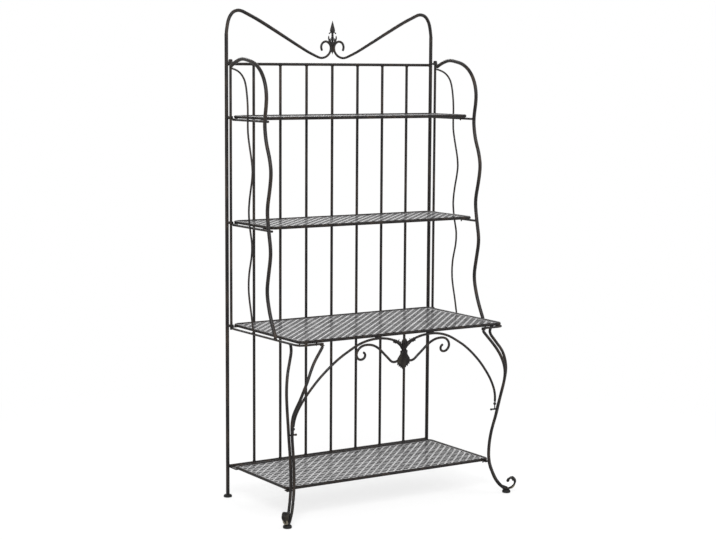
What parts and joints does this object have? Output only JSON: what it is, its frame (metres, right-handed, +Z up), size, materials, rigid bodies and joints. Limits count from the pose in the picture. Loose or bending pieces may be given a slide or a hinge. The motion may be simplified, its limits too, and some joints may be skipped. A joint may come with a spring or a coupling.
{
  "type": "folding plant shelf",
  "caption": "Tall free-standing plant shelf of bent round bar with hinged wavy side wings, lift-off mesh shelves, curled legs and a scrolled crest.",
  "frame": {"origin": "on the floor, under the centre of the whole object's box", "axes": "+X to the object's right seen from the front, +Y to the back, +Z up"},
  "size_m": [0.9542, 0.5113, 1.6792],
  "materials": {
    "dark_paint": "satin dark brown-black paint with brushed bronze wear",
    "mesh_paint": "satin dark paint on expanded steel",
    "cast_bronze_paint": "dark paint rubbed with antique gold",
    "foot_rubber": "matt black"
  },
  "bodies": {
    "back_frame": {"post_left": "dark_paint", "post_right": "dark_paint", "crest_left": "dark_paint", "crest_right": "dark_paint", "top_rail": "dark_paint", "bottom_rail": "dark_paint", "back_rods": "dark_paint", "finial": "cast_bronze_paint", "hinge_eyes_left": "dark_paint", "hinge_eyes_right": "dark_paint", "shelf_rests": "dark_paint", "back_feet": "foot_rubber"},
    "left_wing": {"hinge_rod_left": "dark_paint", "front_bar_left": "dark_paint", "inner_bar_left": "dark_paint", "support_bars_left": "dark_paint", "corner_bar_left": "dark_paint", "leg_rods_left": "dark_paint", "foot_scroll_left": "cast_bronze_paint", "foot_pad_left": "foot_rubber", "shelf_tabs_left": "dark_paint", "leg_tab_left": "dark_paint", "apron_peg_left": "dark_paint"},
    "right_wing": {"hinge_rod_right": "dark_paint", "front_bar_right": "dark_paint", "inner_bar_right": "dark_paint", "support_bars_right": "dark_paint", "corner_bar_right": "dark_paint", "leg_rods_right": "dark_paint", "foot_scroll_right": "cast_bronze_paint", "foot_pad_right": "foot_rubber", "shelf_tabs_right": "dark_paint", "leg_tab_right": "dark_paint", "apron_peg_right": "dark_paint"},
    "top_shelf": {"top_shelf_rim": "dark_paint", "top_shelf_mesh": "mesh_paint", "top_shelf_pins": "dark_paint"},
    "second_shelf": {"second_shelf_rim": "dark_paint", "second_shelf_mesh": "mesh_paint", "second_shelf_pins": "dark_paint"},
    "middle_shelf": {"middle_shelf_rim": "dark_paint", "middle_shelf_mesh": "mesh_paint", "middle_shelf_pins": "dark_paint", "apron_arches": "dark_paint", "apron_scrolls": "dark_paint", "apron_collars": "cast_bronze_paint", "apron_ornament": "cast_bronze_paint", "apron_pins": "dark_paint"},
    "bottom_shelf": {"bottom_shelf_rim": "dark_paint", "bottom_shelf_mesh": "mesh_paint", "bottom_shelf_pins": "dark_paint"}
  },
  "joints": [
    {"name": "left_wing_hinge", "type": "hinge", "parent": "back_frame", "child": "left_wing", "pos_m": [-0.42, 0.21215, 1], "axis": [0, 0, -1], "range_deg": [0, 90]},
    {"name": "right_wing_hinge", "type": "hinge", "parent": "back_frame", "child": "right_wing", "pos_m": [0.42, 0.21215, 1], "axis": [0, 0, 1], "range_deg": [0, 90]},
    {"name": "top_shelf_lift", "type": "slide", "parent": "back_frame", "child": "top_shelf", "axis": [0, 0, 1], "range_m": [0, 0.04]},
    {"name": "second_shelf_lift", "type": "slide", "parent": "back_frame", "child": "second_shelf", "axis": [0, 0, 1], "range_m": [0, 0.04]},
    {"name": "middle_shelf_lift", "type": "slide", "parent": "back_frame", "child": "middle_shelf", "axis": [0, 0, 1], "range_m": [0, 0.04]},
    {"name": "bottom_shelf_lift", "type": "slide", "parent": "back_frame", "child": "bottom_shelf", "axis": [0, 0, 1], "range_m": [0, 0.04]}
  ]
}
